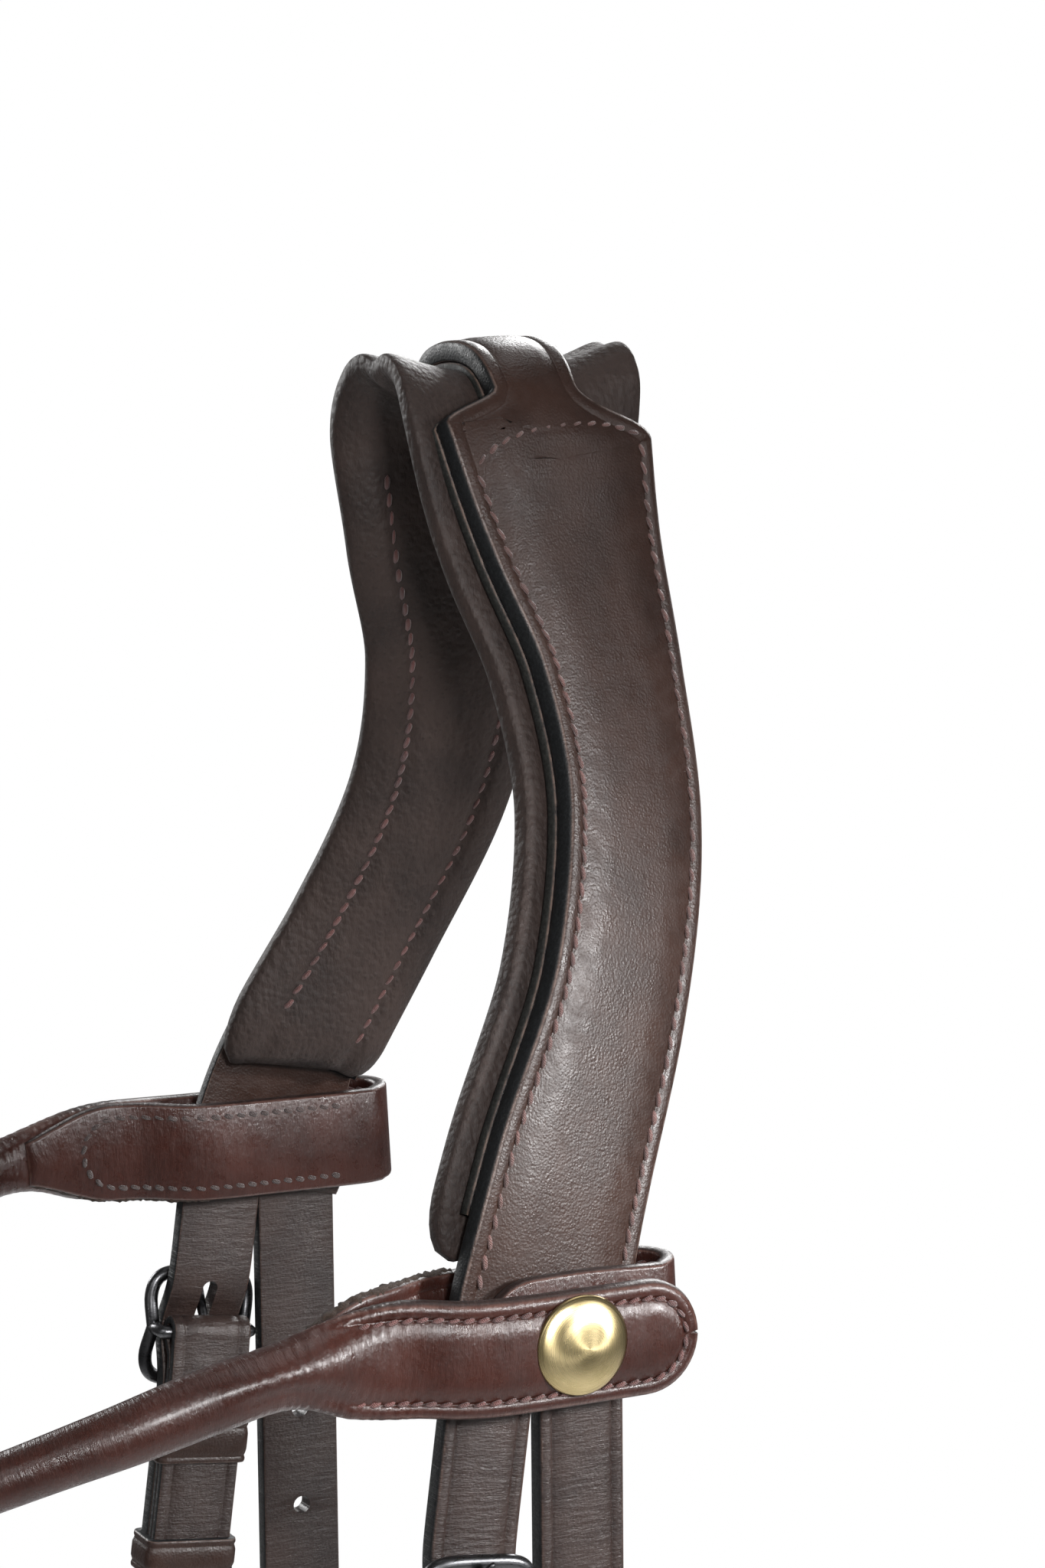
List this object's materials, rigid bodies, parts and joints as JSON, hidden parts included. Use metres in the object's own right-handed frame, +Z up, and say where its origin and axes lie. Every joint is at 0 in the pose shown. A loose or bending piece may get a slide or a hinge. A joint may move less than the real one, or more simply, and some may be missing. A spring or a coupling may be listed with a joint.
{
  "type": "leather headcollar",
  "caption": "Leather show headcollar: padded headpiece with split tails, press-stud rolled browband, buckled cheeks and throatlash, noseband and chin strap on round rings.",
  "frame": {"origin": "underside of the headpiece pad at the middle of the poll, where the headcollar is hung", "axes": "+X to the horse's left (near) side, +Y towards the horse's neck, +Z up"},
  "size_m": [0.1376, 0.2417, 0.5398],
  "materials": {
    "headpiece_leather": "dark brown bridle leather, satin",
    "edge_leather": "dark painted edge",
    "soft_leather": "soft pebbled padding leather, matte",
    "foam": "closed foam, matte",
    "browband_leather": "reddish brown calf leather, polished",
    "cord_core": "twisted cord, matte",
    "strap_leather": "dark brown strap leather, satin",
    "brass": "brushed antique brass",
    "steel": "polished stainless steel"
  },
  "bodies": {
    "headpiece": {"headpiece_leather": "headpiece_leather", "headpiece_backing": "edge_leather", "headpiece_pad_cover": "soft_leather", "headpiece_pad_foam": "foam", "cheek_near_buckle": "steel", "cheek_off_buckle": "steel", "cheek_near_keeper": "strap_leather", "cheek_off_keeper": "strap_leather", "cheekpiece_near": "strap_leather", "cheekpiece_off": "strap_leather", "cheek_ring_near": "steel", "cheek_ring_off": "steel", "throat_near_buckle": "steel", "throat_off_buckle": "steel", "throat_near_keeper": "strap_leather", "throat_off_keeper": "strap_leather", "throat_chape_near": "strap_leather", "throat_chape_off": "strap_leather"},
    "browband": {"browband_leather": "browband_leather", "browband_core": "cord_core", "browband_tab_near": "browband_leather", "browband_tab_off": "browband_leather", "press_stud_post_near": "brass", "press_stud_post_off": "brass", "press_stud_rivet_near": "brass", "press_stud_rivet_off": "brass"},
    "flap_near": {"browband_flap_near": "browband_leather", "press_stud_cap_near": "brass", "press_stud_socket_near": "brass"},
    "flap_off": {"browband_flap_off": "browband_leather", "press_stud_cap_off": "brass", "press_stud_socket_off": "brass"},
    "cheek_tongue_near": {"cheek_near_buckle_tongue": "steel"},
    "cheek_tongue_off": {"cheek_off_buckle_tongue": "steel"},
    "throat_tongue_near": {"throat_near_buckle_tongue": "steel"},
    "throat_tongue_off": {"throat_off_buckle_tongue": "steel"},
    "runner_near": {"cheek_runner_near": "strap_leather"},
    "runner_off": {"cheek_runner_off": "strap_leather"},
    "throatlash": {"throatlash_strap": "strap_leather"},
    "noseband": {"noseband_leather": "headpiece_leather", "noseband_lining": "soft_leather"},
    "chin": {"chin_strap": "strap_leather", "chin_billet": "strap_leather", "chin_buckle": "steel", "chin_keeper": "strap_leather", "lead_ring_loop": "strap_leather"},
    "chin_tongue": {"chin_buckle_tongue": "steel"},
    "lead_ring": {"lead_ring": "steel"}
  },
  "joints": [
    {"name": "browband_slide", "type": "slide", "parent": "headpiece", "child": "browband", "axis": [0, -0.1191, -0.9929], "range_m": [0, 0.01]},
    {"name": "flap_open_near", "type": "hinge", "parent": "browband", "child": "flap_near", "pos_m": [0.0621, -0.0604, -0.145], "axis": [0, 0, -1], "range_deg": [0, 90]},
    {"name": "flap_open_off", "type": "hinge", "parent": "browband", "child": "flap_off", "pos_m": [-0.0621, -0.0604, -0.136], "axis": [0, 0, 1], "range_deg": [0, 90]},
    {"name": "cheek_tongue_lift_near", "type": "hinge", "parent": "headpiece", "child": "cheek_tongue_near", "pos_m": [0.0539, -0.04798, -0.1885], "axis": [0, 0.9824, -0.1867], "range_deg": [0, 10]},
    {"name": "cheek_tongue_lift_off", "type": "hinge", "parent": "headpiece", "child": "cheek_tongue_off", "pos_m": [-0.0539, -0.04437, -0.1695], "axis": [0, -0.9824, 0.1867], "range_deg": [0, 10]},
    {"name": "throat_tongue_lift_near", "type": "hinge", "parent": "headpiece", "child": "throat_tongue_near", "pos_m": [0.0539, -0.02965, -0.25], "axis": [0, 0.9988, -0.0499], "range_deg": [0, 10]},
    {"name": "throat_tongue_lift_off", "type": "hinge", "parent": "headpiece", "child": "throat_tongue_off", "pos_m": [-0.0539, -0.02965, -0.25], "axis": [0, -0.9988, 0.0499], "range_deg": [0, 10]},
    {"name": "runner_slide_near", "type": "slide", "parent": "headpiece", "child": "runner_near", "axis": [0, 0.1867, 0.9824], "range_m": [-0.009, 0.012]},
    {"name": "runner_slide_off", "type": "slide", "parent": "headpiece", "child": "runner_off", "axis": [0, 0.1867, 0.9824], "range_m": [-0.009, 0.012]},
    {"name": "throatlash_swing", "type": "hinge", "parent": "headpiece", "child": "throatlash", "pos_m": [0, -0.03255, -0.30793], "axis": [1, 0, 0], "range_deg": [-20, 25]},
    {"name": "noseband_swing", "type": "hinge", "parent": "headpiece", "child": "noseband", "pos_m": [0, -0.08855, -0.402], "axis": [1, 0, 0], "range_deg": [-20, 30]},
    {"name": "chin_swing", "type": "hinge", "parent": "headpiece", "child": "chin", "pos_m": [0, -0.08855, -0.402], "axis": [1, 0, 0], "range_deg": [-30, 15]},
    {"name": "chin_tongue_lift", "type": "hinge", "parent": "chin", "child": "chin_tongue", "pos_m": [0.0539, -0.03799, -0.44442], "axis": [0, -0.6428, -0.766], "range_deg": [0, 10]},
    {"name": "lead_ring_swing", "type": "hinge", "parent": "chin", "child": "lead_ring", "pos_m": [0, -0.00231, -0.49525], "axis": [1, 0, 0], "range_deg": [-50, 50]}
  ]
}
